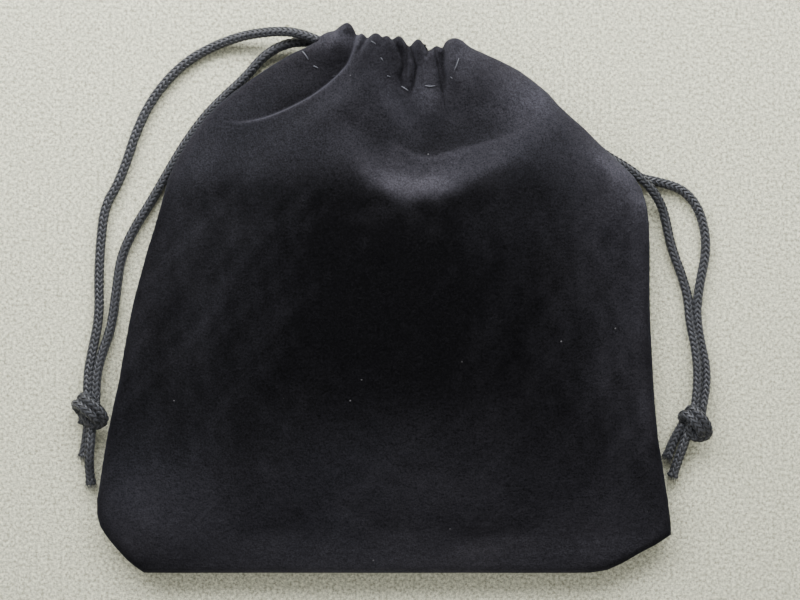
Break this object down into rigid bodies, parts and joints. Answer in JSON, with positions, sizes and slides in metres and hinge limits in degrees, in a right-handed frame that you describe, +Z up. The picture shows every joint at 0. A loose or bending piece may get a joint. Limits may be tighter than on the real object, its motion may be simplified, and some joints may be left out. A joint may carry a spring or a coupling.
{
  "type": "drawstring dice bag",
  "caption": "Flat-lying boxed-bottom velvet pouch with a cinched mouth, two braided drawstrings and knotted ends.",
  "frame": {"origin": "under the middle of the bag, on the surface it lies on", "axes": "+X to the bag's right, +Y from the bottom fold to the mouth, +Z up from the table"},
  "size_m": [0.1769, 0.1534, 0.017],
  "materials": {
    "velvet": "black velvet pile with a soft grey sheen",
    "cord": "black braided cord, slightly shiny",
    "thread": "dark sewing thread"
  },
  "bodies": {
    "bag": {"back_panel": "velvet", "front_panel": "velvet", "back_casing": "velvet", "channel_stitching_back": "thread", "bottom_seam_thread": "thread", "corner_seam_thread_left": "thread", "corner_seam_thread_right": "thread", "side_seam_thread_left": "thread", "side_seam_thread_right": "thread"},
    "front_lip": {"front_lip_panel": "velvet", "front_casing": "velvet", "channel_stitching_front": "thread"},
    "left_drawstring": {"left_outer_strand": "cord", "left_inner_strand": "cord", "left_knot": "cord", "left_long_tail": "cord", "left_short_tail": "cord", "left_back_run": "cord"},
    "right_drawstring": {"right_outer_strand": "cord", "right_inner_strand": "cord", "right_knot": "cord", "right_long_tail": "cord", "right_short_tail": "cord", "right_back_run": "cord"},
    "left_front_cord": {"left_front_run": "cord"},
    "right_front_cord": {"right_front_run": "cord"}
  },
  "joints": [
    {"name": "mouth_open", "type": "hinge", "parent": "bag", "child": "front_lip", "pos_m": [0, 0.038, 0.0165], "axis": [1, 0, 0], "range_deg": [0, 25]},
    {"name": "left_pull", "type": "slide", "parent": "bag", "child": "left_drawstring", "axis": [-1, 0, 0], "range_m": [0, 0.02]},
    {"name": "right_pull", "type": "slide", "parent": "bag", "child": "right_drawstring", "axis": [1, 0, 0], "range_m": [0, 0.02]},
    {"name": "left_front_slide", "type": "slide", "parent": "front_lip", "child": "left_front_cord", "axis": [-1, 0, 0], "range_m": [0, 0.02]},
    {"name": "right_front_slide", "type": "slide", "parent": "front_lip", "child": "right_front_cord", "axis": [1, 0, 0], "range_m": [0, 0.02]}
  ],
  "couplings": [
    {"joint": "left_front_slide", "follows": "left_pull", "ratio": 1},
    {"joint": "right_front_slide", "follows": "right_pull", "ratio": 1}
  ]
}
